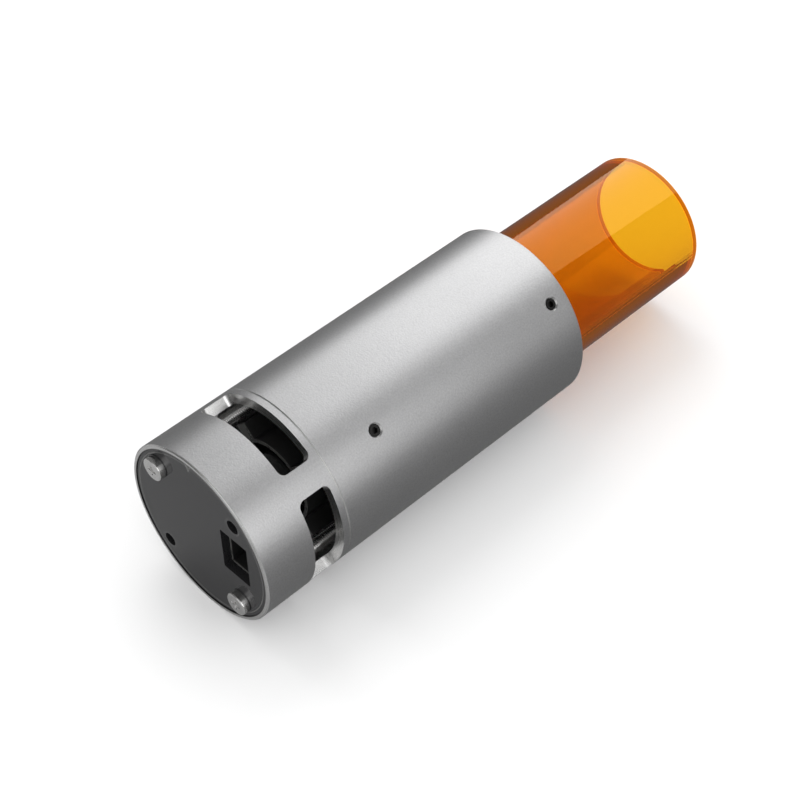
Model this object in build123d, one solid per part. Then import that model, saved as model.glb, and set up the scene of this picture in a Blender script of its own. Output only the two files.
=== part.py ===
from build123d import *
import math
import os

# Laser module, standing on the open rim of its shield tube. +Z runs along the beam axis to the
# connector end. X and Y run through the middles of the vent windows, screws lie on the diagonals.
# Lengths are in millimetres and angles in degrees.

# Housing and vent cap
housing_dia = 43.0
housing_wall = 2.5
housing_length = 72.5
cap_length = 22.5
edge_break = 0.3
seam_break = 0.2
spigot_wall = 1.2
spigot_length = 2.0
spigot_relief = 0.2

# Vent windows
window_count = 4
window_angle = 73.5
window_height = 8.0
window_above_seam = 1.8
window_corner = 1.6

# Rear plate
plate_thick = 2.0
plate_recess = 0.2
plate_clear = 0.1
rim_wall = 1.0
notch_angle = 93.0
notch_depth = 2.1
notch_width = 2.0
hole_clear = 0.1

# Screws
screw_dia = 3.0
screw_inset = 2.5
screw_length = 40.0
screw_head_dia = 5.5
screw_head_height = 1.6
screw_head_rim = 0.6
recess_share = 0.56
recess_slot = 0.85
recess_depth = 1.0
recess_taper = 10.0
fan_screw_length = 8.0
fan_head_dia = 4.6
thread_clear = 0.03
tap_spare = 2.5
grub_core_dia = 2.5
grub_sink = 0.35
grub_key = 1.3
grub_key_depth = 1.0
grub_mouth_dia = 3.25
grub_mouth_depth = 0.4
rear_grub_below_seam = 13.8
front_grub_above_face = 4.8
slip = 0.05

# Connector socket
socket_inset = 7.7
socket_y = 1.7
socket_cut_x = 8.05
socket_cut_y = 11.5
socket_cut_corner = 0.4
socket_lip = 0.3
socket_wall = 0.95
socket_floor = 0.8
socket_above_window = 0.2
socket_step_depth = 2.2
latch_ledge = 1.55
latch_channel = 6.2
socket_tab = 1.2
socket_tab_length = 3.6
socket_tab_thick = 1.0
contact_count = 8
contact_pitch = 1.02
contact_width = 0.45
contact_thick = 0.25
contact_reach = 1.2

# Driver board
board_thick = 1.6
board_above_window = 2.0
board_clear = 0.4
spacer_dia = 4.8
ring_height = 1.2
coil_side = 7.3
coil_height = 4.5
coil_drum_dia = 5.8
capacitor_dia = 6.3
capacitor_height = 5.8
transistor_x = 6.1
transistor_y = 6.5
transistor_height = 2.3
chip_x = 3.9
chip_y = 5.0
chip_height = 1.5

# Fan frame
fan_above_seam = 1.75
fan_depth = 10.0
flange_thick = 2.0
flange_clear = 0.1
duct_dia = 20.4
duct_wall = 0.8
web_width = 3.8
web_to_screw = 2.4
spoke_count = 3
spoke_width = 1.3
base_thick = 1.3
bearing_tube_wall = 0.5
lead_slot_out = 2.8
lead_slot_across = 4.3
lead_slot_radial = 2.4

# Fan rotor and motor
blade_count = 7
blade_thick = 0.55
blade_camber = 0.8
blade_root_chord = 6.2
blade_tip_chord = 7.6
blade_root_pitch = 50.0
blade_tip_pitch = 33.0
tip_clear = 0.4
rotor_end_clear = 0.8
rotor_base_clear = 0.7
hub_dia = 12.0
hub_wall = 0.7
hub_cap = 0.8
magnet_thick = 0.8
air_gap = 0.3
shaft_dia = 1.5
shaft_running = 0.02
bearing_wall = 0.7
core_height = 2.4
core_ring = 0.6
core_shoe = 0.7
core_neck = 1.1
pole_count = 4
pole_gap = 22.0
coil_build = 0.55

# Heat sink
collar_gap = 6.0
plenum = 3.0
sink_core_dia = 18.4
fin_thick = 1.2
fin_offsets = (20.0, 34.0, 56.0, 70.0)
lobe_dia = 5.8
lobe_web = 2.4

# Laser barrel, diode and lens
barrel_dia = 12.0
barrel_length = 30.0
barrel_proud = 4.0
barrel_bore = 9.1
barrel_break = 0.4
barrel_grub_at = 19.0
diode_depth = 8.0
diode_flange_dia = 9.0
diode_flange_thick = 1.5
diode_can_dia = 6.7
diode_can_height = 3.4
diode_can_clear = 0.25
diode_stop = 4.0
pin_dia = 0.46
pin_circle = 2.54
pin_length = 6.5
retainer_thick = 3.0
retainer_bore = 6.0
retainer_slot = 0.8
cell_running = 0.05
cell_length = 8.7
cell_gap = 0.7
ring_dia = 11.4
ring_thick = 3.8
flute_count = 20
flute_dia = 0.9
lens_dia = 6.5
lens_edge = 1.1
lens_bulge = 1.2
lens_seat = 4.0
aperture_dia = 5.4
spring_wire = 0.6
spring_turns = 4
spring_end_clear = 0.15

# Shield tube and its collar
shield_reach = 46.0
shield_wall = 2.5
collar_inset = 1.0
collar_length = 13.0
collar_lip = 2.0
collar_wall = 1.9

# Leads
lead_dia = 1.0
fan_lead_dia = 0.8
fan_lead_gap = 1.3
diode_lead_angle = -112.0
fan_lead_angle = -158.0
fan_lead_bow = 1.8
bend_share = 0.45
plenum_bend = 2.5

# Angles of the two screwed plate holes and of the two others
plate_screw_angles = (135.0, -45.0)
open_hole_angles = (45.0, -135.0)
grub_angle = 45.0

# Radii
housing_r = housing_dia / 2
bore_r = housing_r - housing_wall
pocket_r = housing_r - rim_wall
plate_r = pocket_r - plate_clear
spigot_r = bore_r + spigot_wall
turned_r = bore_r - slip
screw_r = screw_dia / 2
screw_circle_r = bore_r - screw_inset
shield_r = turned_r - collar_wall - slip
shield_bore_r = shield_r - shield_wall
duct_r = duct_dia / 2
duct_bore_r = duct_r - duct_wall
hub_r = hub_dia / 2
hub_bore_r = hub_r - hub_wall
magnet_bore_r = hub_bore_r - magnet_thick
stator_r = magnet_bore_r - air_gap
shaft_r = shaft_dia / 2
bearing_bore_r = shaft_r + shaft_running
bearing_r = bearing_bore_r + bearing_wall
bearing_tube_r = bearing_r + bearing_tube_wall
barrel_r = barrel_dia / 2
barrel_bore_r = barrel_bore / 2

# Heights
front_z = shield_reach
seam_z = front_z + housing_length
rear_z = seam_z + cap_length
plate_top_z = rear_z - plate_recess
plate_z = plate_top_z - plate_thick
window_z = seam_z + window_above_seam
window_top_z = window_z + window_height
board_z = window_top_z + board_above_window
board_top_z = board_z + board_thick
socket_z = window_top_z + socket_above_window
fan_top_z = seam_z + fan_above_seam
fan_z = fan_top_z - fan_depth
flange_top_z = fan_z + flange_thick
collar_z = front_z + collar_inset
collar_top_z = collar_z + collar_length
shield_top_z = collar_top_z - collar_lip
sink_z = collar_top_z + collar_gap
sink_top_z = fan_z - plenum
barrel_z = sink_z - barrel_proud
barrel_top_z = barrel_z + barrel_length
diode_z = barrel_top_z - diode_depth
diode_top_z = diode_z + diode_flange_thick
spring_seat_z = diode_z - diode_stop
cell_z = barrel_z - cell_gap
cell_top_z = cell_z + cell_length
rotor_z = fan_z + base_thick + rotor_base_clear
rotor_top_z = fan_top_z - rotor_end_clear
core_z = rotor_z + (rotor_top_z - hub_cap - rotor_z - core_height) / 2

socket_x = bore_r - socket_inset


def tube(outer_r, inner_r, low, high):
    """A round tube about the beam axis."""
    ring = Circle(outer_r) - Circle(inner_r)
    return Pos(0, 0, low) * extrude(ring, amount=high - low)


def rod(radius, low, high):
    """A round bar about the beam axis."""
    return Pos(0, 0, low) * extrude(Circle(radius), amount=high - low)


def around(radius, angle, z=0.0):
    """A place at a radius and an angle about the beam axis."""
    return Rot(0, 0, angle) * Pos(radius, 0, z)


def outward(radius, angle, z):
    """A place whose own Z points straight out from the beam axis."""
    return around(radius, angle, z) * Rot(0, 90, 0)


def domed(radius, edge, height):
    """A round disc on z = 0 with a spherical top."""
    rise = height - edge
    ball_r = (radius ** 2 + rise ** 2) / (2 * rise)
    return rod(radius, 0, height) & Pos(0, 0, height - ball_r) * Sphere(ball_r)


def rim(solid, radius, z):
    """The round edges of a solid at one radius and height."""
    found = []
    for edge in solid.edges().filter_by(GeomType.CIRCLE):
        if abs(edge.radius - radius) < 1e-4 and abs(edge.arc_center.Z - z) < 1e-4:
            found.append(edge)
    return found


def grub_hole(z):
    """The tapped hole of a housing grub screw, with its countersunk mouth."""
    tapped_r = grub_core_dia / 2 + thread_clear
    mouth_r = grub_mouth_dia / 2
    hole = Pos(0, 0, -2 * housing_wall) * extrude(Circle(tapped_r), amount=3 * housing_wall)
    outside = housing_r * (1 - math.cos(math.asin(mouth_r / housing_r)))
    low = -grub_mouth_depth - outside
    slope = (mouth_r - tapped_r) / grub_mouth_depth
    high = edge_break
    high_r = mouth_r + slope * (high + outside)
    mouth = Pos(0, 0, (low + high) / 2) * Cone(tapped_r, high_r, high - low)
    return outward(housing_r, grub_angle, z) * (hole + mouth)


def make_main_housing():
    body = tube(housing_r, bore_r, front_z, seam_z)
    body -= rod(spigot_r + slip, seam_z - spigot_length - spigot_relief, seam_z)
    body = chamfer(rim(body, housing_r, front_z) + rim(body, bore_r, front_z), edge_break)
    body = chamfer(rim(body, housing_r, seam_z), seam_break)
    for z in (seam_z - rear_grub_below_seam, front_z + front_grub_above_face):
        body -= grub_hole(z)
    return body


def vent_cutter():
    """A sector through the wall with its corners rounded along the radius."""
    inner = bore_r - housing_wall
    depth = 3 * housing_wall
    blank = Plane.XZ * Pos(inner + depth / 2, window_z + window_height / 2) * Rectangle(depth, window_height)
    sector = Rot(0, 0, -window_angle / 2) * revolve(blank, Axis.Z, window_angle)
    corners = [edge for edge in sector.edges().filter_by(GeomType.LINE) if abs((edge % 0.5).Z) < 1e-6]
    return fillet(corners, window_corner)


def make_vent_cap():
    body = tube(housing_r, bore_r, seam_z, rear_z)
    body += tube(spigot_r, bore_r, seam_z - spigot_length, seam_z)
    body -= rod(pocket_r, plate_z, rear_z)
    body = chamfer(rim(body, housing_r, seam_z), seam_break)
    body = chamfer(rim(body, housing_r, rear_z), edge_break)
    cutter = vent_cutter()
    for index in range(window_count):
        body -= Rot(0, 0, index * 360 / window_count) * cutter
    return body


def make_end_plate():
    outline = Circle(plate_r)
    for angle in plate_screw_angles + open_hole_angles:
        outline -= around(screw_circle_r, angle) * Circle(screw_r + hole_clear)
    socket = RectangleRounded(socket_cut_x, socket_cut_y, socket_cut_corner)
    outline -= Pos(socket_x, socket_y) * socket
    tip = (plate_r - notch_depth, 0)
    side = notch_width / 2 * (notch_depth + plate_clear) / notch_depth
    wedge = Polygon(tip, (plate_r + plate_clear, side), (plate_r + plate_clear, -side), align=None)
    outline -= Rot(0, 0, notch_angle) * wedge
    return Pos(0, 0, plate_z) * extrude(outline, amount=plate_thick)


def pan_screw(length, head_dia):
    """A pan head screw with a cross recess, its head seated on z = 0."""
    head = domed(head_dia / 2, screw_head_rim, screw_head_height)
    shank = Pos(0, 0, -length) * extrude(Circle(screw_r), amount=length)
    shank = chamfer(rim(shank, screw_r, -length), edge_break)
    span = recess_share * head_dia
    cross = Rectangle(span, recess_slot) + Rectangle(recess_slot, span)
    top = Pos(0, 0, screw_head_height) * cross
    recess = extrude(top, amount=-recess_depth, taper=recess_taper)
    return head + shank - recess


def make_plate_screws():
    screw = pan_screw(screw_length, screw_head_dia)
    return [around(screw_circle_r, angle, plate_top_z) * screw for angle in plate_screw_angles]


def make_fan_screws():
    screw = pan_screw(fan_screw_length, fan_head_dia)
    return [around(screw_circle_r, angle, flange_top_z) * screw for angle in open_hole_angles]


def grub_screw(radius, length):
    """A headless screw with a hexagon socket, its point on z = 0."""
    body = extrude(Circle(radius), amount=length)
    key = RegularPolygon(grub_key / 2, 6, major_radius=False)
    return body - Pos(0, 0, length - grub_key_depth) * extrude(key, amount=grub_key_depth)


def make_set_screws():
    point_r = turned_r + thread_clear
    screw = grub_screw(grub_core_dia / 2, housing_r - grub_sink - point_r)
    heights = (seam_z - rear_grub_below_seam, front_z + front_grub_above_face)
    return [outward(point_r, grub_angle, z) * screw for z in heights]


def make_socket_body():
    inner_x = socket_cut_x - 2 * socket_lip
    inner_y = socket_cut_y - 2 * socket_lip
    high = plate_z - slip
    shell = extrude(Rectangle(inner_x + 2 * socket_wall, inner_y + 2 * socket_wall), amount=high - socket_z)
    for side in (-1, 1):
        at_y = side * (inner_y / 2 + socket_wall + socket_tab / 2)
        at_z = board_top_z - socket_z + socket_tab_thick / 2
        tab_x = socket_tab_length / 2 - inner_x / 2
        shell += Pos(tab_x, at_y, at_z) * Box(socket_tab_length, socket_tab, socket_tab_thick)
    mouth = Rectangle(inner_x, inner_y)
    shell -= Pos(0, 0, high - socket_z - socket_step_depth) * extrude(mouth, amount=socket_step_depth)
    deep = Pos(-latch_ledge / 2, 0) * Rectangle(inner_x - latch_ledge, inner_y)
    deep += Rectangle(inner_x, latch_channel)
    deep_top = high - socket_z - socket_step_depth
    shell -= Pos(0, 0, socket_floor) * extrude(deep, amount=deep_top - socket_floor)
    return Pos(socket_x, socket_y, socket_z) * shell


def make_socket_contacts():
    """Spring wires that rise from the floor along the inner wall and fold back down."""
    wall_x = socket_x - socket_cut_x / 2 + socket_lip
    low = socket_z + socket_floor
    high = plate_z - slip - socket_step_depth
    bend_z = high - 2 * contact_thick
    inner = Polyline(
        (wall_x + contact_thick, low),
        (wall_x + contact_thick, bend_z - contact_thick),
        (wall_x + contact_reach - contact_thick, low + (bend_z - low) * 0.35),
        (wall_x + contact_reach, low + (bend_z - low) * 0.35 + contact_thick),
        (wall_x + contact_thick, bend_z + contact_thick),
        (wall_x, bend_z + contact_thick),
        (wall_x, low),
        (wall_x + contact_thick, low),
    )
    wire = extrude(Plane.XZ * make_face(inner), amount=contact_width / 2, both=True)
    first = socket_y - contact_pitch * (contact_count - 1) / 2
    return [Pos(0, first + index * contact_pitch, 0) * wire for index in range(contact_count)]


def make_driver_board():
    outline = Circle(bore_r - board_clear)
    inner_x = socket_cut_x / 2 - socket_lip + socket_wall + hole_clear
    inner_y = socket_cut_y / 2 - socket_lip + socket_wall + hole_clear
    reach = bore_r - socket_x
    cut = Pos(socket_x + (reach - inner_x) / 2, socket_y) * Rectangle(reach + inner_x, 2 * inner_y)
    outline -= cut
    for angle in plate_screw_angles + open_hole_angles:
        outline -= around(screw_circle_r, angle) * Circle(screw_r + hole_clear)
    return Pos(0, 0, board_z) * extrude(outline, amount=board_thick)


def make_board_spacers():
    ring = Circle(spacer_dia / 2) - Circle(screw_r + thread_clear)
    spacer = extrude(ring, amount=plate_z - board_top_z)
    return [around(screw_circle_r, angle, board_top_z) * spacer for angle in plate_screw_angles]


def make_board_rings():
    """Plastic rings that grip the screw threads under the board."""
    outline = Circle(spacer_dia / 2) - Circle(screw_r + thread_clear)
    ring = extrude(outline, amount=ring_height)
    return [around(screw_circle_r, angle, board_z - ring_height) * ring for angle in plate_screw_angles]


def make_driver_coil():
    base = extrude(RectangleRounded(coil_side, coil_side, 1.2), amount=coil_height)
    groove = Circle(coil_side / 2 * 0.93) - Circle(coil_drum_dia / 2)
    base -= Pos(0, 0, coil_height * 0.7) * extrude(groove, amount=coil_height * 0.3)
    return Pos(-coil_side / 2 - 4.8, 2.0, board_top_z) * base


def make_driver_capacitor():
    can_r = capacitor_dia / 2
    can = extrude(Circle(can_r), amount=capacitor_height)
    can = fillet(rim(can, can_r, capacitor_height), 0.5)
    foot = extrude(Rectangle(capacitor_dia, capacitor_dia), amount=0.9)
    return Pos(0.4, screw_circle_r - 4.4, board_top_z) * (can + foot)


def make_power_transistor():
    body = Pos(0, 0, transistor_height / 2) * Box(transistor_x, transistor_y, transistor_height)
    body = chamfer(body.edges().group_by(Axis.Z)[-1], 0.4)
    tab = Pos(-transistor_x / 2 - 0.5, 0, 0.4) * Box(1.0, transistor_y - 1.2, 0.8)
    for side in (-1, 1):
        tab += Pos(transistor_x / 2 + 0.9, side * 2.3, 0.25) * Box(1.8, 0.9, 0.5)
    return Pos(-1.8, 5.5 - screw_circle_r, board_top_z) * Rot(0, 0, 90) * (body + tab)


def make_control_chip():
    body = Pos(0, 0, chip_height / 2 + 0.1) * Box(chip_x, chip_y, chip_height - 0.1)
    body = chamfer(body.edges().group_by(Axis.Z)[-1], 0.2)
    for side in (-1, 1):
        for index in range(4):
            at = Pos(side * (chip_x / 2 + 0.45), (index - 1.5) * 1.27, 0.2)
            body += at * Box(0.9, 0.45, 0.4)
    return Pos(-9.2, -6.0, board_top_z) * body


def make_fan_frame():
    """One moulding: flange, duct ring, four webs, and the spokes that carry the bearing tube."""
    flange = Circle(bore_r - flange_clear) - Circle(duct_bore_r)
    for angle in plate_screw_angles + open_hole_angles:
        flange -= around(screw_circle_r, angle) * Circle(screw_r + thread_clear)
    slot = Rectangle(lead_slot_radial, lead_slot_across)
    flange -= around(duct_r + lead_slot_out, diode_lead_angle) * slot
    frame = Pos(0, 0, fan_z) * extrude(flange, amount=flange_thick)
    frame += tube(duct_r, duct_bore_r, fan_z, fan_top_z)
    web_end = screw_circle_r - web_to_screw
    web_length = web_end - duct_r + duct_wall / 2
    web = Pos(web_end - web_length / 2, 0) * Rectangle(web_length, web_width)
    for angle in plate_screw_angles + open_hole_angles:
        frame += Rot(0, 0, angle) * Pos(0, 0, fan_z) * extrude(web, amount=fan_depth)
    frame += rod(hub_r, fan_z, fan_z + base_thick)
    spoke_length = duct_bore_r + duct_wall / 2
    spoke = Pos(spoke_length / 2, 0) * Rectangle(spoke_length, spoke_width)
    for index in range(spoke_count):
        frame += Rot(0, 0, index * 360 / spoke_count) * Pos(0, 0, fan_z) * extrude(spoke, amount=base_thick)
    tube_top = rotor_top_z - hub_cap - rotor_base_clear
    frame += rod(bearing_tube_r, fan_z, tube_top)
    frame -= rod(bearing_r, fan_z + base_thick / 2, tube_top)
    return frame


def blade_section(radius, chord, pitch):
    """A thin cambered section across the blade, on a plane square to the radius."""
    half = chord / 2
    edge = blade_thick / 4
    upper = ThreePointArc((-half, edge), (0, blade_camber + blade_thick / 2), (half, edge))
    tail = Line((half, edge), (half, -edge))
    lower = ThreePointArc((half, -edge), (0, blade_camber - blade_thick / 2), (-half, -edge))
    nose = Line((-half, -edge), (-half, edge))
    outline = make_face(upper + tail + lower + nose)
    middle = (rotor_z + rotor_top_z) / 2
    across = Plane(origin=(radius, 0, middle), x_dir=(0, 1, 0), z_dir=(1, 0, 0))
    return across * Rot(0, 0, pitch) * outline


def make_fan_rotor():
    """Hub cup with twisted blades, lofted from a steep root to a flatter tip."""
    tip_r = duct_bore_r - tip_clear
    stations = []
    for share in (-0.1, 0.5, 1.15):
        radius = hub_r + share * (tip_r - hub_r)
        chord = blade_root_chord + share * (blade_tip_chord - blade_root_chord)
        pitch = blade_root_pitch + share * (blade_tip_pitch - blade_root_pitch)
        stations.append(blade_section(radius, chord, pitch))
    blade = loft(stations)
    blade &= tube(tip_r, hub_r - hub_wall / 2, rotor_z, rotor_top_z)
    hub = rod(hub_r, rotor_z, rotor_top_z)
    hub -= rod(hub_bore_r, rotor_z, rotor_top_z - hub_cap)
    hub = chamfer(rim(hub, hub_r, rotor_top_z), edge_break)
    for index in range(blade_count):
        hub += Rot(0, 0, index * 360 / blade_count) * blade
    hub -= rod(shaft_r, rotor_top_z - hub_cap, rotor_top_z)
    return hub


def make_fan_shaft():
    return rod(shaft_r, fan_z + base_thick / 2 + thread_clear, rotor_top_z)


def make_rotor_magnet():
    return tube(hub_bore_r, magnet_bore_r, rotor_z + hub_cap / 2, rotor_top_z - hub_cap)


def make_fan_bearing():
    tube_top = rotor_top_z - hub_cap - rotor_base_clear
    return tube(bearing_r, bearing_bore_r, fan_z + base_thick / 2, tube_top)


def stator_core_profile():
    """Inner ring, necks and curved pole shoes of the stator plates."""
    reach = stator_r - core_shoe / 2
    neck = Pos(reach / 2, 0) * Rectangle(reach, core_neck)
    shoes = Circle(stator_r) - Circle(stator_r - core_shoe)
    outline = Circle(bearing_tube_r + core_ring)
    for index in range(pole_count):
        turn = index * 360 / pole_count
        outline += Rot(0, 0, turn) * neck
        gap = Pos(stator_r, 0) * Rectangle(4 * core_shoe, stator_r * math.radians(pole_gap))
        shoes -= Rot(0, 0, turn + 180 / pole_count) * gap
    return outline + shoes - Circle(bearing_tube_r + thread_clear)


def make_stator_core():
    return Pos(0, 0, core_z) * extrude(stator_core_profile(), amount=core_height)


def make_stator_coils():
    """One winding round each neck."""
    low = bearing_tube_r + core_ring + slip
    width = core_neck + 2 * coil_build
    high = math.sqrt((stator_r - core_shoe) ** 2 - (width / 2) ** 2) - slip
    height = core_height + 2 * coil_build
    winding = Box(high - low, width, height) - Box(high - low, core_neck + slip, core_height + slip)
    middle = core_z + core_height / 2
    turns = [index * 360 / pole_count for index in range(pole_count)]
    return [around((low + high) / 2, turn, middle) * winding for turn in turns]


def make_heat_sink():
    """Extruded profile: core, fins to the housing bore, and four lobes for the screws."""
    fins = Sketch()
    lobes = Sketch()
    span = turned_r
    fin = Pos(span / 2, 0) * Rectangle(span, fin_thick)
    web = Pos(screw_circle_r / 2, 0) * Rectangle(screw_circle_r, lobe_web)
    lobe = Pos(screw_circle_r, 0) * Circle(lobe_dia / 2)
    for angle in plate_screw_angles + open_hole_angles:
        for offset in fin_offsets:
            fins += Rot(0, 0, angle + offset) * fin
        fins += Rot(0, 0, angle) * web
        lobes += Rot(0, 0, angle) * lobe
    lobes &= Circle(turned_r)
    profile = (fins & Circle(turned_r)) + lobes + Circle(sink_core_dia / 2)
    profile -= Circle(barrel_r + slip)
    body = Pos(0, 0, sink_z) * extrude(profile, amount=sink_top_z - sink_z)
    body += Pos(0, 0, sink_top_z) * extrude(lobes, amount=fan_z - sink_top_z)
    drill_r = screw_r + thread_clear
    for angle in plate_screw_angles:
        low = plate_top_z - screw_length - tap_spare
        body -= around(screw_circle_r, angle) * rod(drill_r, low, fan_z)
    for angle in open_hole_angles:
        low = flange_top_z - fan_screw_length - tap_spare
        body -= around(screw_circle_r, angle) * rod(drill_r, low, fan_z)
    grub_r = grub_core_dia / 2 + thread_clear
    for angle in (0, 90):
        hole = extrude(Circle(grub_r), amount=bore_r - barrel_r)
        body -= outward(barrel_r - slip, angle, barrel_z + barrel_grub_at) * hole
    return body


def make_barrel_screws():
    length = sink_core_dia / 2 - barrel_r - grub_sink
    screw = grub_screw(grub_core_dia / 2, length)
    height = barrel_z + barrel_grub_at
    return [outward(barrel_r + thread_clear, angle, height) * screw for angle in (0, 90)]


def make_laser_barrel():
    can_bore_r = diode_can_dia / 2 + diode_can_clear
    body = tube(barrel_r, can_bore_r, barrel_z, barrel_top_z)
    body -= rod(barrel_bore_r, barrel_z, spring_seat_z)
    body -= rod(barrel_bore_r, diode_z, barrel_top_z)
    return chamfer(rim(body, barrel_r, barrel_z) + rim(body, barrel_r, barrel_top_z), barrel_break)


def make_laser_diode():
    """Round can package with its window at the front and three pins at the back."""
    can = rod(diode_flange_dia / 2, diode_z, diode_top_z)
    can += rod(diode_can_dia / 2, diode_z - diode_can_height, diode_z)
    can -= rod(diode_can_dia / 4, diode_z - diode_can_height, diode_z - diode_can_height + 0.3)
    for turn in (-90, 90, 180):
        place = Rot(0, 0, diode_lead_angle) * around(pin_circle / 2, turn)
        can += place * rod(pin_dia / 2, diode_top_z, diode_top_z + pin_length)
    return can


def make_diode_retainer():
    ring = tube(barrel_bore_r - cell_running, retainer_bore / 2, diode_top_z, diode_top_z + retainer_thick)
    slot = Box(barrel_bore, retainer_slot, retainer_slot)
    return ring - Pos(0, 0, diode_top_z + retainer_thick - retainer_slot / 2) * slot


def make_lens_cell():
    """Threaded sleeve with a fluted focus ring at its front."""
    ring_low = cell_z - ring_thick
    ring_r = ring_dia / 2
    cell = rod(ring_r, ring_low, cell_z)
    cell = chamfer(rim(cell, ring_r, ring_low) + rim(cell, ring_r, cell_z), edge_break)
    for index in range(flute_count):
        flute = around(ring_r + flute_dia / 4, index * 360 / flute_count)
        cell -= flute * rod(flute_dia / 2, ring_low, cell_z)
    cell += rod(barrel_bore_r - cell_running, cell_z, cell_top_z)
    cell -= rod(lens_dia / 2 + slip, ring_low + lens_seat, cell_top_z)
    cell -= rod(aperture_dia / 2, ring_low, cell_top_z)
    mouth_r = aperture_dia / 2 + 1.0
    return cell - Pos(0, 0, ring_low + 0.5) * Cone(mouth_r, aperture_dia / 2, 1.0)


def make_focus_lens():
    """Plano-convex lens, its flat face on the cell's seat."""
    seat = cell_z - ring_thick + lens_seat
    return Pos(0, 0, seat) * domed(lens_dia / 2, lens_edge, lens_edge + lens_bulge)


def make_focus_spring():
    low = cell_top_z + spring_end_clear + spring_wire / 2
    high = spring_seat_z - spring_end_clear - spring_wire / 2
    radius = barrel_bore_r - spring_wire / 2 - 2 * slip
    path = Helix(pitch=(high - low) / spring_turns, height=high - low, radius=radius)
    start = Plane(origin=path @ 0, z_dir=path % 0)
    return Pos(0, 0, low) * sweep(start * Circle(spring_wire / 2), path=path, is_frenet=True)


def make_shield_collar():
    body = tube(turned_r, shield_r + slip, collar_z, shield_top_z)
    body += tube(turned_r, shield_bore_r, shield_top_z, collar_top_z)
    return chamfer(rim(body, turned_r, collar_z) + rim(body, turned_r, collar_top_z), edge_break)


def make_shield_tube():
    return tube(shield_r, shield_bore_r, 0, shield_top_z)


def lead_path(points, limits=None):
    """A run of wire through points, each corner as round as its two runs and its limit allow."""
    spots = [Vector(point) for point in points]
    radii = []
    for before, spot, after in zip(spots, spots[1:], spots[2:]):
        shorter = min((spot - before).length, (after - spot).length)
        turn = math.radians((spot - before).get_angle(after - spot))
        radii.append(bend_share * shorter / math.tan(turn / 2))
    if limits:
        radii = [min(pair) for pair in zip(radii, limits)]
    return FilletPolyline(*points, radius=radii)


def wire(path, diameter):
    start = Plane(origin=path @ 0, z_dir=path % 0)
    return sweep(start * Circle(diameter / 2), path=path)


def make_diode_lead():
    """Two wires from the diode pins through the plenum and the flange slot to the board."""
    across_z = (sink_top_z + fan_z) / 2
    out = duct_r + lead_slot_out
    points = [(0, 0, diode_top_z + pin_length), (0, 0, across_z), (out, 0, across_z), (out, 0, board_z)]
    single = wire(lead_path(points, limits=(out, plenum_bend)), lead_dia)
    return [Rot(0, 0, diode_lead_angle) * Pos(0, side * pin_circle / 2, 0) * single for side in (-1, 1)]


def make_fan_lead():
    """Two slack wires from the fan flange to the board."""
    out = duct_r + lead_slot_out
    rise = board_z - flange_top_z
    points = [
        (out, 0, flange_top_z),
        (out, 0, flange_top_z + rise * 0.2),
        (out + fan_lead_bow, 0, flange_top_z + rise * 0.5),
        (out, 0, flange_top_z + rise * 0.8),
        (out, 0, board_z),
    ]
    single = wire(lead_path(points), fan_lead_dia)
    return [Rot(0, 0, fan_lead_angle) * Pos(0, side * fan_lead_gap / 2, 0) * single for side in (-1, 1)]


pieces = {
    "main_housing": make_main_housing,
    "vent_cap": make_vent_cap,
    "end_plate": make_end_plate,
    "plate_screws": make_plate_screws,
    "set_screws": make_set_screws,
    "socket_body": make_socket_body,
    "socket_contacts": make_socket_contacts,
    "driver_board": make_driver_board,
    "board_spacers": make_board_spacers,
    "board_rings": make_board_rings,
    "driver_coil": make_driver_coil,
    "driver_capacitor": make_driver_capacitor,
    "power_transistor": make_power_transistor,
    "control_chip": make_control_chip,
    "fan_frame": make_fan_frame,
    "fan_rotor": make_fan_rotor,
    "fan_shaft": make_fan_shaft,
    "rotor_magnet": make_rotor_magnet,
    "fan_bearing": make_fan_bearing,
    "stator_core": make_stator_core,
    "stator_coils": make_stator_coils,
    "fan_screws": make_fan_screws,
    "fan_lead": make_fan_lead,
    "heat_sink": make_heat_sink,
    "barrel_screws": make_barrel_screws,
    "laser_barrel": make_laser_barrel,
    "laser_diode": make_laser_diode,
    "diode_retainer": make_diode_retainer,
    "diode_lead": make_diode_lead,
    "lens_cell": make_lens_cell,
    "focus_lens": make_focus_lens,
    "focus_spring": make_focus_spring,
    "shield_collar": make_shield_collar,
    "shield_tube": make_shield_tube,
}

os.makedirs("parts", exist_ok=True)
for name, make in pieces.items():
    made = make()
    if isinstance(made, list):
        made = Compound(children=made)
    export_step(made, f"parts/{name}.step")
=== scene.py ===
import math

import bmesh
import bpy
from mathutils import Matrix, Vector


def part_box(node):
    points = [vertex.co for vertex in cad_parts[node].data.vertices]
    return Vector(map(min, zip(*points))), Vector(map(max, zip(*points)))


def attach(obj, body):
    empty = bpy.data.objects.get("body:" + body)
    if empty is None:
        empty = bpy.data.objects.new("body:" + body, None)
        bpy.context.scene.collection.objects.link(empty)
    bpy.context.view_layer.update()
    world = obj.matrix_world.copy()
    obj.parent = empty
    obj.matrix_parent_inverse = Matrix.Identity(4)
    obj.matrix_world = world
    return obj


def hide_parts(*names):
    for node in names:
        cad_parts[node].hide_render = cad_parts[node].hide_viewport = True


# Laser module, lying as if on a table for the camera, in the frame of its solids: Z is the beam
# axis and points to the connector end. Lengths are in metres.

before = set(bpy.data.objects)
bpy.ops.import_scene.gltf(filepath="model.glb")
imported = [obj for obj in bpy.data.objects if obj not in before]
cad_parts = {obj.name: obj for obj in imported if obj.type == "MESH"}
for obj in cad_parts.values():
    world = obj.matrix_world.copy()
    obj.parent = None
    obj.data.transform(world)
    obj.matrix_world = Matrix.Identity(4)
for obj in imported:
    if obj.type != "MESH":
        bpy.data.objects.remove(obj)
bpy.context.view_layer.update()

MM = 0.001

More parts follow.
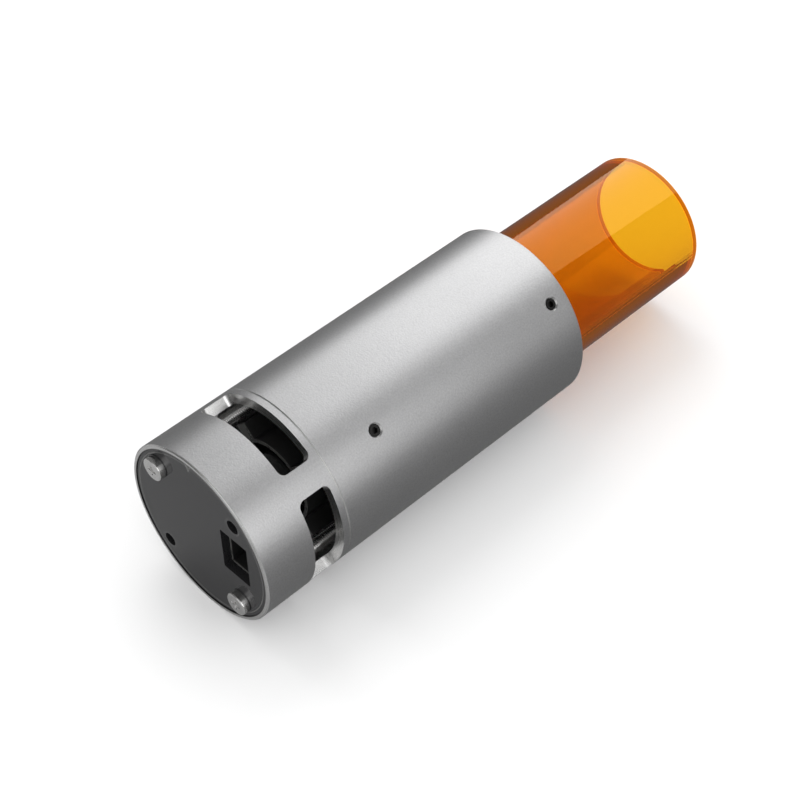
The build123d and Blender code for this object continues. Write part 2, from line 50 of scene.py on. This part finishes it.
# The camera of the photograph, in the part's frame
CAMERA_PLACE = (0.1951, 0.2727, 0.2688)
CAMERA_RIGHT = (0.7000, -0.0153, -0.7140)
CAMERA_UP = (-0.5027, 0.6997, -0.5077)
LENS_MM = 77.6
SENSOR_MM = 36.0
SHIFT = (0.00116, -0.00144)
NEAREST_SEEN = 0.01

# The table touches the housing along its side
TABLE_ANGLE = math.radians(88.75)
HOUSING_R = 21.5 * MM
TABLE_DROP = HOUSING_R + 0.02 * MM
TABLE_SIZE = 4.0

# Light levels: what the paper glows by itself, and what the surround shows to mirrored rays, and to
# those of them that also went through the tube's wall
PAPER_GLOW = 0.06
MIRRORED_DIM = 0.15
THROUGH_DIM = 0.36

# Heights that the finishes need, read from the solids, and the radius of the pocket round the plate
PLATE_LOW, PLATE_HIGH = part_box("end_plate")
FAN_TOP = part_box("fan_frame")[1].z
SOCKET_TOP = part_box("socket_body")[1].z
POCKET_R = 20.5 * MM
LIGHTS_AIM = Vector((0.0, 0.0, PLATE_HIGH.z * 0.6))

# Pale lines painted on the plate for its far edges seen through it: inside its rim and outside its
# holes
PAINTED_RIM_LINE_R = PLATE_HIGH.x - 0.82 * MM
PAINTED_HOLE_LINE_OUT = 0.38 * MM
PAINTED_HOLE_LINE_SHARE = 0.55

# The V notch in the plate's rim
NOTCH_ANGLE = math.radians(93.0)
NOTCH_TIP_R = 18.3 * MM
NOTCH_SLOPE = 1.0 / 2.1

# The four holes of the plate, and the two long screws in it
HOLE_CIRCLE_R = 16.5 * MM
HOLE_R = 1.6 * MM
SCREW_ANGLES = (math.radians(135.0), math.radians(-45.0))
SCREW_LENGTH = 40.0 * MM
THREAD_R = 1.48 * MM
THREAD_DEPTH = 0.26 * MM
THREAD_PITCH = 0.5 * MM
THREAD_SIDES = 30
RINGS_PER_TURN = 8
HEAD_R = 2.75 * MM
HEAD_HEIGHT = 1.75 * MM
HEAD_ROUND = 0.35 * MM
HEAD_UNDERCUT = 0.22 * MM
HEAD_SIDES = 96
HEAD_ROUND_STEPS = 6
HEAD_FACE_STEPS = 40
HEAD_CREASE = math.radians(40.0)
RECESS_REACH = 1.35 * MM
RECESS_HALF = 0.34 * MM
RECESS_DEPTH = 0.85 * MM
RECESS_END_SLOPE = 0.18 * MM
RECESS_SIDE_SLOPE = 0.14 * MM
RECESS_SHALLOWING = 0.55

# The leads come in pairs, black on one side of this line through the axis and red on the other
LEAD_SPLIT_ANGLE = math.radians(-22.0)
WIRE_PITCH = 0.16 * MM
CORE_SHEET = 0.35 * MM


class Value:
    """A socket of a finish. Python's operators on it add Math nodes."""

    def __init__(self, finish, socket):
        self.finish = finish
        self.socket = socket

    def maths(self, operation, *terms):
        inputs = dict(enumerate(terms or (self,)))
        return self.finish.node("ShaderNodeMath", {"operation": operation}, inputs)

    def __add__(self, other):
        return self.maths("ADD", self, other)

    def __radd__(self, other):
        return self.maths("ADD", other, self)

    def __sub__(self, other):
        return self.maths("SUBTRACT", self, other)

    def __rsub__(self, other):
        return self.maths("SUBTRACT", other, self)

    def __mul__(self, other):
        return self.maths("MULTIPLY", self, other)

    def __rmul__(self, other):
        return self.maths("MULTIPLY", other, self)

    def root(self):
        return self.maths("SQRT")

    def size(self):
        return self.maths("ABSOLUTE")

    def ripple(self, pitch):
        """Runs up and down between 0 and 1, once in a pitch."""
        return (self * (2 * math.pi / pitch)).maths("SINE") * 0.5 + 0.5

    def lower(self, other):
        return self.maths("MINIMUM", self, other)

    def higher(self, other):
        return self.maths("MAXIMUM", self, other)

    def rise(self, low, high):
        """Runs from 0 at low to 1 at high, smoothly, and stays there."""
        settings = {"interpolation_type": "SMOOTHSTEP"}
        inputs = {"Value": self, "From Min": low, "From Max": high}
        return self.finish.node("ShaderNodeMapRange", settings, inputs)

    def near_zero(self, inner, outer):
        """A line: 1 where the value is within inner of 0, and 0 past outer."""
        return 1 - self.size().rise(inner, outer)


class Finish:
    """One material, built node by node."""

    def __init__(self, name):
        self.material = bpy.data.materials.new(name)
        self.material.use_nodes = True
        self.tree = self.material.node_tree
        self.tree.nodes.clear()
        self.place = self.node("ShaderNodeTexCoord", output="Object")
        self.x, self.y, self.z = (
            self.node("ShaderNodeSeparateXYZ", None, {0: self.place}, output=axis) for axis in "XYZ"
        )
        self.radius = (self.x * self.x + self.y * self.y).root()

    def node(self, kind, settings=None, inputs=None, output=0):
        made = self.tree.nodes.new(kind)
        for key, value in (settings or {}).items():
            setattr(made, key, value)
        for key, value in (inputs or {}).items():
            if isinstance(value, Value):
                self.tree.links.new(value.socket, made.inputs[key])
            else:
                made.inputs[key].default_value = value
        return Value(self, made.outputs[output]) if made.outputs else None

    def noise(self, scale, detail=2.0, stretch=(1.0, 1.0, 1.0), roughness=0.5):
        inputs = {0: self.place, 1: stretch}
        spot = self.node("ShaderNodeVectorMath", {"operation": "MULTIPLY"}, inputs)
        inputs = {"Vector": spot, "Scale": scale, "Detail": detail, "Roughness": roughness}
        return self.node("ShaderNodeTexNoise", None, inputs)

    def turned(self, scale):
        """Rings as a lathe tool leaves them, the same all the way round."""
        inputs = {"X": self.radius, "Y": 0.0, "Z": self.z}
        spot = self.node("ShaderNodeCombineXYZ", None, inputs)
        inputs = {"Vector": spot, "Scale": scale, "Detail": 3.0}
        return self.node("ShaderNodeTexNoise", None, inputs)

    def mix(self, share, low, high):
        """A colour between two others."""
        inputs = {"Factor": share, 6: rgba(low), 7: rgba(high)}
        return self.node("ShaderNodeMix", {"data_type": "RGBA"}, inputs, output=2)

    def bump(self, height, depth, under=None):
        """A normal from a height of 0 to 1, where depth is in metres."""
        inputs = {"Height": height, "Distance": depth, "Strength": 1.0}
        if under is not None:
            inputs["Normal"] = under
        return self.node("ShaderNodeBump", None, inputs)

    def surface(self, volume=None, **inputs):
        """The finish's shader, with the Principled sockets that are named."""
        named = {key.replace("_", " "): value for key, value in inputs.items()}
        named["Base Color"] = rgba(named["Base Color"])
        ends = {"Surface": self.node("ShaderNodeBsdfPrincipled", None, named)}
        if volume:
            ends["Volume"] = volume
        self.node("ShaderNodeOutputMaterial", None, ends)
        return self.material


def rgba(colour):
    if isinstance(colour, Value) or len(colour) == 4:
        return colour
    return (*colour, 1.0)


def dress(material, *names):
    """Puts a finish on the solids that are named."""
    for name in names:
        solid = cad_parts[name]
        solid.data.materials.clear()
        solid.data.materials.append(material)


def blasted_aluminium():
    """Bead-blasted outside, bright tool marks where the wall is cut, and painted shade in the gap
    round the plate.
    """
    finish = Finish("blasted_aluminium")
    grain = finish.noise(2600.0)
    cloud = finish.noise(60.0)
    rings = finish.turned(5200.0)
    outside = finish.radius.rise(HOUSING_R - 0.12 * MM, HOUSING_R - 0.02 * MM)
    blasted = finish.mix(grain * 0.8 + cloud * 0.2, (0.52, 0.52, 0.525), (0.82, 0.82, 0.825))
    cut = finish.mix(rings, (0.76, 0.757, 0.75), (0.93, 0.927, 0.92))
    # Painted shade: a dark band on the pocket wall just above the plate, for the shaded gap between
    # plate and housing
    in_pocket = 1 - finish.radius.rise(POCKET_R + 0.02 * MM, POCKET_R + 0.14 * MM)
    painted_gap_shade = in_pocket * finish.z.rise(PLATE_LOW.z - 0.1 * MM, PLATE_LOW.z + 0.2 * MM)
    cut = finish.mix(painted_gap_shade * (0.8 + cloud * 0.2), cut, (0.05, 0.05, 0.05))
    rough = outside * (0.40 + grain * 0.08) + (1 - outside) * (0.24 + rings * 0.08)
    height = outside * grain + (1 - outside) * rings * 0.5
    return finish.surface(
        Base_Color=finish.mix(outside, cut, blasted),
        Metallic=1.0,
        Roughness=rough,
        Normal=finish.bump(height, 0.026 * MM),
    )


def smoked_acrylic():
    """Dark polished sheet, sawn pale in its notch, with painted pale lines for its far edges seen
    through it.
    """
    finish = Finish("smoked_acrylic")
    haze = finish.noise(220.0, detail=3.0)
    # Painted see-through lines: the rim's far wall inside the rim, and the holes' walls outside the
    # holes
    painted_rim_line = (finish.radius - PAINTED_RIM_LINE_R).near_zero(0.05 * MM, 0.16 * MM)
    across = finish.x.size() - HOLE_CIRCLE_R * math.cos(math.pi / 4)
    along = finish.y.size() - HOLE_CIRCLE_R * math.sin(math.pi / 4)
    from_hole = (across * across + along * along).root() - (HOLE_R + PAINTED_HOLE_LINE_OUT)
    painted_edge_lines = painted_rim_line.higher(PAINTED_HOLE_LINE_SHARE * from_hole.near_zero(0.05 * MM, 0.17 * MM))
    dark, pale = (0.018, 0.018, 0.019), (0.135, 0.134, 0.130)
    sheet = finish.mix(painted_edge_lines * (0.4 + haze * 0.6), dark, pale)
    outward = finish.x * math.cos(NOTCH_ANGLE) + finish.y * math.sin(NOTCH_ANGLE)
    sideways = finish.y * math.cos(NOTCH_ANGLE) - finish.x * math.sin(NOTCH_ANGLE)
    from_cut = sideways.size() - (outward - NOTCH_TIP_R) * NOTCH_SLOPE
    sawn = from_cut.near_zero(0.03 * MM, 0.10 * MM)
    sawn = sawn * outward.rise(NOTCH_TIP_R - 0.2 * MM, NOTCH_TIP_R)
    return finish.surface(
        Base_Color=finish.mix(sawn * (0.6 + haze * 0.4), sheet, (0.42, 0.42, 0.41)),
        Roughness=0.035 + haze * 0.02,
        IOR=1.55,
        Normal=finish.bump(haze, 0.0006 * MM),
    )


def orange_acrylic():
    """See-through orange tube. The sawn end is a little frosted, and has a painted orange glow."""
    finish = Finish("orange_acrylic")
    cut_end = 1 - finish.z.rise(0.05 * MM, 0.15 * MM)
    streaks = finish.noise(90.0, stretch=(1.0, 1.0, 0.12))
    depth = {"Color": (0.953, 0.805, 0.0, 1.0), "Density": 1100.0}
    return finish.surface(
        Base_Color=finish.mix(streaks, (0.92, 0.68, 0.18), (0.94, 0.72, 0.22)),
        Roughness=0.012 + cut_end * 0.22,
        # Painted glow: the sawn end emits orange light of its own
        Emission_Color=finish.mix(cut_end, (0.0, 0.0, 0.0), (1.0, 0.38, 0.05)),
        Emission_Strength=0.45,
        Transmission_Weight=1.0,
        Specular_Tint=(1.0, 0.86, 0.30, 1.0),
        IOR=1.49,
        volume=finish.node("ShaderNodeVolumeAbsorption", None, depth),
    )


def plated_steel():
    """Zinc-plated screws, with faint marks of turning and handling."""
    finish = Finish("plated_steel")
    lathe = finish.noise(2600.0, stretch=(0.25, 0.25, 1.0))
    wear = finish.noise(900.0, detail=3.0)
    return finish.surface(
        Base_Color=finish.mix(lathe * 0.5 + wear * 0.5, (0.80, 0.80, 0.79), (0.94, 0.93, 0.92)),
        Metallic=1.0,
        Roughness=0.22 + wear * 0.08,
        Normal=finish.bump(lathe, 0.005 * MM),
    )


def turned_metal(name, dark, light, rough):
    """A lathe-turned piece with fine rings and a faint cloud of handling marks."""
    finish = Finish(name)
    rings = finish.turned(4200.0)
    cloud = finish.noise(300.0, detail=3.0)
    return finish.surface(
        Base_Color=finish.mix(rings * 0.6 + cloud * 0.4, dark, light),
        Metallic=1.0,
        Roughness=rough + cloud * 0.12,
        Normal=finish.bump(rings, 0.006 * MM),
    )


def drawn_metal(name, dark, light, rough):
    """A piece drawn or pressed along the axis, with lines that run its length."""
    finish = Finish(name)
    lines = finish.noise(2400.0, detail=3.0, stretch=(1.0, 1.0, 0.02))
    return finish.surface(
        Base_Color=finish.mix(lines, dark, light),
        Metallic=1.0,
        Roughness=rough + lines * 0.15,
        Normal=finish.bump(lines, 0.008 * MM),
    )


def black_oxide():
    """Blackened steel with a fine speckle."""
    finish = Finish("black_oxide")
    spots = finish.noise(2600.0, detail=3.0)
    return finish.surface(
        Base_Color=finish.mix(spots, (0.020, 0.020, 0.021), (0.055, 0.054, 0.052)),
        Metallic=0.9,
        Roughness=0.34 + spots * 0.15,
        Normal=finish.bump(spots, 0.01 * MM),
    )


def moulded_plastic(name, dark, light, rough):
    """Fine spark-eroded mould texture, with slow changes of gloss."""
    finish = Finish(name)
    grain = finish.noise(3200.0)
    cloud = finish.noise(180.0)
    return finish.surface(
        Base_Color=finish.mix(cloud * 0.6 + grain * 0.4, dark, light),
        Roughness=rough + cloud * 0.12 + grain * 0.05,
        IOR=1.53,
        Normal=finish.bump(grain, 0.006 * MM),
    )


def moulding_with_painted_top(name, top, pale):
    """Moulded plastic whose faces at the top height are rubbed smoother, and painted lighter as a
    painted highlight.
    """
    finish = Finish(name)
    grain = finish.noise(3200.0)
    cloud = finish.noise(420.0, detail=3.0)
    # Painted highlight: the faces at the top height get a far lighter colour, as well as a lower
    # roughness
    rubbed_and_painted_top = finish.z.rise(top - 0.22 * MM, top - 0.04 * MM)
    plain = finish.mix(grain, (0.010, 0.010, 0.010), (0.020, 0.020, 0.020))
    painted_top_colour = finish.mix(cloud, (0.075, 0.074, 0.072), (pale, pale, pale * 0.96))
    return finish.surface(
        Base_Color=finish.mix(rubbed_and_painted_top, plain, painted_top_colour),
        Roughness=0.34 - rubbed_and_painted_top * 0.10 + cloud * 0.08,
        IOR=1.53,
        Normal=finish.bump(grain, 0.006 * MM),
    )


def circuit_board():
    """Dark solder mask with copper tracks showing through as raised lines."""
    finish = Finish("circuit_board")
    cell = finish.node("ShaderNodeTexVoronoi", {"distance": "MANHATTAN", "feature": "F1"},
                       {"Vector": finish.place, "Scale": 420.0, "Randomness": 0.35})
    track = (cell - 0.42).near_zero(0.02, 0.07)
    weave = finish.noise(1800.0)
    bare, raised = (0.004, 0.020, 0.012), (0.010, 0.060, 0.032)
    return finish.surface(
        Base_Color=finish.mix(track * 0.8 + weave * 0.2, bare, raised),
        Roughness=0.26 + weave * 0.1,
        IOR=1.5,
        Normal=finish.bump(track + weave * 0.1, 0.03 * MM),
    )


def sintered(name, dark, light, metallic):
    """Pressed powder: speckled and dull."""
    finish = Finish(name)
    speck = finish.noise(5200.0, detail=3.0, roughness=0.7)
    return finish.surface(
        Base_Color=finish.mix(speck, dark, light),
        Metallic=metallic,
        Roughness=0.5 + speck * 0.2,
        Normal=finish.bump(speck, 0.012 * MM),
    )


def enamelled_copper():
    """Windings: rows of fine wire laid beside each other."""
    finish = Finish("enamelled_copper")
    rows = finish.radius.ripple(WIRE_PITCH)
    shade = finish.noise(900.0)
    return finish.surface(
        Base_Color=finish.mix(rows * 0.7 + shade * 0.3, (0.22, 0.06, 0.02), (0.72, 0.27, 0.11)),
        Metallic=1.0,
        Roughness=0.28 + shade * 0.12,
        Normal=finish.bump(rows, 0.05 * MM),
    )


def core_plates():
    """Thin steel plates stacked along the axis."""
    finish = Finish("core_plates")
    stack = finish.z.ripple(CORE_SHEET)
    shade = finish.noise(1200.0)
    return finish.surface(
        Base_Color=finish.mix(stack * 0.7 + shade * 0.3, (0.18, 0.18, 0.19), (0.50, 0.50, 0.52)),
        Metallic=1.0,
        Roughness=0.38 + shade * 0.1,
        Normal=finish.bump(stack, 0.03 * MM),
    )


def wire_insulation():
    """Red and black leads. The side of each pair picks the colour."""
    finish = Finish("wire_insulation")
    across = finish.x * math.cos(LEAD_SPLIT_ANGLE) + finish.y * math.sin(LEAD_SPLIT_ANGLE)
    red = across.rise(-0.1 * MM, 0.1 * MM)
    shade = finish.noise(500.0)
    jacket = finish.mix(shade, (0.014, 0.014, 0.014), (0.030, 0.030, 0.030))
    scarlet = finish.mix(shade, (0.32, 0.012, 0.010), (0.42, 0.022, 0.016))
    return finish.surface(
        Base_Color=finish.mix(red, jacket, scarlet),
        Roughness=0.42 + shade * 0.12,
        IOR=1.5,
        Normal=finish.bump(shade, 0.01 * MM),
    )


def coated_glass():
    """Lens glass with a faint coating tint."""
    finish = Finish("coated_glass")
    tint = finish.noise(150.0)
    return finish.surface(
        Base_Color=finish.mix(tint, (0.90, 0.95, 1.0), (0.97, 0.93, 1.0)),
        Roughness=0.01 + tint * 0.01,
        Transmission_Weight=1.0,
        IOR=1.6,
    )


def dress_all():
    """Puts each finish on its solids, and the detailed screws in place of the plain ones."""
    dress(blasted_aluminium(), "main_housing", "vent_cap")
    dress(smoked_acrylic(), "end_plate")
    dress(orange_acrylic(), "shield_tube")
    # The last number sets how light the painted highlight on the top faces is
    dress(moulding_with_painted_top("fan_moulding", FAN_TOP, 0.15), "fan_frame")
    dress(moulding_with_painted_top("socket_moulding", SOCKET_TOP, 0.20), "socket_body")
    dress(circuit_board(), "driver_board")
    dress(enamelled_copper(), "stator_coils")
    dress(core_plates(), "stator_core")
    dress(wire_insulation(), "fan_lead", "diode_lead")
    dress(coated_glass(), "focus_lens")
    dress(black_oxide(), "set_screws", "barrel_screws")
    zinc = plated_steel()
    dress(zinc, "fan_screws")
    plate_screws(zinc)

    nylon = moulded_plastic("black_nylon", (0.010, 0.010, 0.010), (0.022, 0.022, 0.022), 0.38)
    dress(nylon, "fan_rotor")
    white = moulded_plastic("white_nylon", (0.55, 0.54, 0.50), (0.70, 0.69, 0.65), 0.40)
    dress(white, "board_spacers", "board_rings")
    epoxy = moulded_plastic("black_epoxy", (0.016, 0.016, 0.017), (0.030, 0.030, 0.032), 0.30)
    dress(epoxy, "power_transistor", "control_chip")

    ferrite = sintered("ferrite", (0.035, 0.035, 0.038), (0.10, 0.10, 0.105), 0.2)
    dress(ferrite, "driver_coil", "rotor_magnet")
    bronze = sintered("bearing_bronze", (0.30, 0.15, 0.06), (0.55, 0.32, 0.14), 1.0)
    dress(bronze, "fan_bearing")

    gold = turned_metal("gold_plate", (0.62, 0.42, 0.14), (0.90, 0.68, 0.30), 0.20)
    dress(gold, "socket_contacts", "laser_diode")
    brass = turned_metal("turned_brass", (0.50, 0.36, 0.14), (0.78, 0.60, 0.28), 0.24)
    dress(brass, "laser_barrel", "lens_cell", "diode_retainer")
    steel = turned_metal("ground_steel", (0.42, 0.42, 0.43), (0.62, 0.62, 0.63), 0.20)
    dress(steel, "fan_shaft", "focus_spring")

    can = drawn_metal("can_aluminium", (0.58, 0.58, 0.59), (0.76, 0.76, 0.77), 0.22)
    dress(can, "driver_capacitor")
    extrusion = drawn_metal("extruded_aluminium", (0.44, 0.44, 0.45), (0.62, 0.62, 0.63), 0.26)
    dress(extrusion, "heat_sink", "shield_collar")


def ring_of(mesh, count, radius_at, height_at, centre):
    """One ring of corners round a screw's axis."""
    ring = []
    for step in range(count):
        turn = 2 * math.pi * step / count
        reach = radius_at(turn)
        flat = Vector((reach * math.cos(turn), reach * math.sin(turn), 0.0))
        ring.append(mesh.verts.new(centre + flat + Vector((0.0, 0.0, height_at(flat)))))
    return ring


def skin(mesh, lower, upper):
    """Faces between two rings, or from a ring to a single corner."""
    count = len(lower)
    for step in range(count):
        after = (step + 1) % count
        if len(upper) == 1:
            mesh.faces.new((lower[step], lower[after], upper[0]))
        else:
            mesh.faces.new((lower[step], lower[after], upper[after], upper[step]))


def recess_depth(spot):
    """How deep the cross recess is at a spot on the head's face."""
    deep = 0.0
    for along, across in ((spot.x, spot.y), (spot.y, spot.x)):
        in_length = min(max((RECESS_REACH - abs(along)) / RECESS_END_SLOPE, 0.0), 1.0)
        in_width = min(max((RECESS_HALF - abs(across)) / RECESS_SIDE_SLOPE, 0.0), 1.0)
        deep = max(deep, in_length * in_width)
    return RECESS_DEPTH * deep * (1.0 - RECESS_SHALLOWING * spot.length / RECESS_REACH)


def thread_radius(height, turn):
    """The shank's radius at a height and a turn round it: a thread with rounded crests."""
    phase = 2 * math.pi * height / THREAD_PITCH - turn
    return THREAD_R - THREAD_DEPTH * (0.5 - 0.5 * math.cos(phase))


def cut_thread(mesh, centre):
    """The threaded shank below a head, closed at its lower end."""
    rings = int(SCREW_LENGTH / THREAD_PITCH * RINGS_PER_TURN)
    lower = None
    for index in range(rings + 1):
        height = -SCREW_LENGTH + SCREW_LENGTH * index / rings
        upper = ring_of(
            mesh,
            THREAD_SIDES,
            lambda turn: thread_radius(height, turn),
            lambda flat: height,
            centre,
        )
        if lower:
            skin(mesh, lower, upper)
        else:
            skin(mesh, upper, [mesh.verts.new(centre + Vector((0.0, 0.0, height)))])
        lower = upper


def head_outline():
    """Radius and height of a pan head's rings, from its seat round to the middle of its face."""
    neck = HEAD_R - HEAD_UNDERCUT
    outline = [(neck, 0.0), (neck, HEAD_UNDERCUT / 2), (HEAD_R, HEAD_UNDERCUT)]
    outline.append((HEAD_R, HEAD_HEIGHT - HEAD_ROUND))
    for step in range(1, HEAD_ROUND_STEPS + 1):
        bend = math.pi / 2 * step / HEAD_ROUND_STEPS
        radius = HEAD_R - HEAD_ROUND * (1 - math.cos(bend))
        outline.append((radius, HEAD_HEIGHT - HEAD_ROUND * (1 - math.sin(bend))))
    edge = HEAD_R - HEAD_ROUND
    for step in range(1, HEAD_FACE_STEPS):
        outline.append((edge * (1 - step / HEAD_FACE_STEPS), HEAD_HEIGHT))
    return outline


def pan_head(mesh, centre):
    """A low pan head with a cross recess, its seat at the centre's height."""
    lower = [mesh.verts.new(centre)]
    for radius, height in head_outline():
        on_face = height >= HEAD_HEIGHT
        upper = ring_of(
            mesh,
            HEAD_SIDES,
            lambda turn: radius,
            lambda flat: height - (recess_depth(flat) if on_face else 0.0),
            centre,
        )
        if len(lower) == 1:
            skin(mesh, upper, lower)
        else:
            skin(mesh, lower, upper)
        lower = upper
    bottom = Vector((0.0, 0.0, HEAD_HEIGHT - RECESS_DEPTH))
    skin(mesh, lower, [mesh.verts.new(centre + bottom)])


def plate_screws(material):
    """The two long screws that hold the plate and the board."""
    mesh = bmesh.new()
    for angle in SCREW_ANGLES:
        flat = HOLE_CIRCLE_R * math.cos(angle), HOLE_CIRCLE_R * math.sin(angle)
        centre = Vector((*flat, PLATE_HIGH.z))
        cut_thread(mesh, centre)
        pan_head(mesh, centre)
    bmesh.ops.recalc_face_normals(mesh, faces=mesh.faces)
    for face in mesh.faces:
        face.smooth = True
    for edge in mesh.edges:
        on_head = min(corner.co.z for corner in edge.verts) >= PLATE_HIGH.z
        edge.smooth = not on_head or edge.calc_face_angle(0.0) < HEAD_CREASE
    data = bpy.data.meshes.new("long_pan_screws")
    mesh.to_mesh(data)
    mesh.free()
    piece = bpy.data.objects.new("long_pan_screws", data)
    data.materials.append(material)
    bpy.context.scene.collection.objects.link(piece)
    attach(piece, "module")
    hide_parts("plate_screws")


def around(azimuth):
    """A direction square to the beam, measured from straight up off the table."""
    angle = TABLE_ANGLE - math.radians(azimuth)
    return Vector((math.cos(angle), math.sin(angle), 0.0))


def white_table():
    """Pale table under the housing. Seen from below it lets the view through."""
    up = around(0.0)
    along = Vector((0.0, 0.0, 1.0))
    across = along.cross(up)
    mesh = bpy.data.meshes.new("table_top")
    middle = up * -TABLE_DROP + along * (PLATE_HIGH.z / 2)
    near, far = middle - along * (TABLE_SIZE / 2), middle + along * (TABLE_SIZE / 2)
    wide = across * (TABLE_SIZE / 2)
    corners = [near - wide, near + wide, far + wide, far - wide]
    mesh.from_pydata(corners, [], [(0, 1, 2, 3)])
    if mesh.polygons[0].normal.dot(up) < 0:
        mesh.flip_normals()
    table = bpy.data.objects.new("table_top", mesh)
    bpy.context.scene.collection.objects.link(table)
    finish = Finish("table_paper")
    under = finish.node("ShaderNodeNewGeometry", output="Backfacing")
    beside = 1 - finish.z.rise(PLATE_LOW.z - 2.0 * MM, PLATE_HIGH.z + 2.0 * MM)
    mirrored = finish.node("ShaderNodeLightPath", output="Glossy Depth").lower(1.0) * beside
    through = finish.node("ShaderNodeLightPath", output="Transmission Depth").lower(1.0)
    white = finish.node("ShaderNodeBsdfDiffuse", None, {"Color": (0.92, 0.92, 0.92, 1.0)})
    lift = finish.node("ShaderNodeEmission", None, {"Strength": PAPER_GLOW})
    paper = finish.node("ShaderNodeAddShader", None, {0: white, 1: lift})
    glow = through * (THROUGH_DIM - MIRRORED_DIM) + MIRRORED_DIM
    dim = finish.node("ShaderNodeEmission", None, {"Strength": glow})
    paper = finish.node("ShaderNodeMixShader", None, {0: mirrored, 1: paper, 2: dim})
    clear = finish.node("ShaderNodeBsdfTransparent")
    both = finish.node("ShaderNodeMixShader", None, {0: under, 1: paper, 2: clear})
    finish.node("ShaderNodeOutputMaterial", None, {"Surface": both})
    mesh.materials.append(finish.material)


def softbox(name, azimuth, tilt, distance, width, length, glow, mirrored):
    """A soft light round the beam axis, where glow is how bright its face looks."""
    slope = math.radians(tilt)
    towards = around(azimuth) * math.cos(slope) + Vector((0.0, 0.0, math.sin(slope)))
    light = bpy.data.lights.new(name, "AREA")
    light.shape = "RECTANGLE"
    light.size = width
    light.size_y = length
    light.energy = glow * math.pi * width * length
    lamp = bpy.data.objects.new(name, light)
    side = Vector((0.0, 0.0, 1.0)).cross(towards).normalized()
    upright = towards.cross(side)
    lamp.matrix_world = Matrix((
        (side.x, upright.x, towards.x, 0.0),
        (side.y, upright.y, towards.y, 0.0),
        (side.z, upright.z, towards.z, 0.0),
        (0.0, 0.0, 0.0, 1.0),
    ))
    lamp.matrix_world.translation = LIGHTS_AIM + towards * distance
    lamp.visible_camera = False
    lamp.visible_glossy = mirrored
    lamp.visible_diffuse = not mirrored
    lamp.visible_transmission = mirrored
    bpy.context.scene.collection.objects.link(lamp)


def studio():
    """White surround for the camera and through clear plastic, dim for everything mirrored."""
    world = bpy.data.worlds.new("studio")
    bpy.context.scene.world = world
    world.use_nodes = True
    tree = world.node_tree
    tree.nodes.clear()
    path = tree.nodes.new("ShaderNodeLightPath")
    level = tree.nodes.new("ShaderNodeMapRange")
    level.inputs["To Min"].default_value = 1.0
    level.inputs["To Max"].default_value = MIRRORED_DIM
    tree.links.new(path.outputs["Glossy Depth"], level.inputs["Value"])
    back = tree.nodes.new("ShaderNodeBackground")
    tree.links.new(level.outputs[0], back.inputs["Strength"])
    back.inputs["Color"].default_value = (1.0, 1.0, 1.0, 1.0)
    tree.links.new(back.outputs[0], tree.nodes.new("ShaderNodeOutputWorld").inputs["Surface"])
    softbox("wide_softbox", -25.5, -46.0, 0.80, 1.20, 0.66, 1.55, True)
    softbox("side_softbox", 64.0, 0.0, 0.80, 0.66, 0.66, 1.50, True)
    softbox("edge_softbox", 34.0, 57.0, 0.80, 0.90, 1.04, 0.45, True)
    softbox("table_key", -34.0, -10.0, 0.90, 0.50, 0.70, 1.9, False)
    softbox("table_fill", 40.0, -10.0, 0.90, 0.60, 0.70, 0.30, False)


def place_camera():
    """The camera at the photograph's viewing angle."""
    lens = bpy.data.cameras.new("view")
    lens.sensor_width = SENSOR_MM
    lens.lens = LENS_MM
    lens.shift_x, lens.shift_y = SHIFT
    lens.clip_start = NEAREST_SEEN
    eye = bpy.data.objects.new("view", lens)
    right = Vector(CAMERA_RIGHT).normalized()
    back = right.cross(Vector(CAMERA_UP)).normalized()
    upright = back.cross(right)
    turn = Matrix((right, upright, back)).transposed()
    eye.matrix_world = Matrix.Translation(CAMERA_PLACE) @ turn.to_4x4()
    bpy.context.scene.collection.objects.link(eye)
    bpy.context.scene.camera = eye


place_camera()
studio()
white_table()
dress_all()

bpy.context.scene.view_settings.view_transform = "Standard"
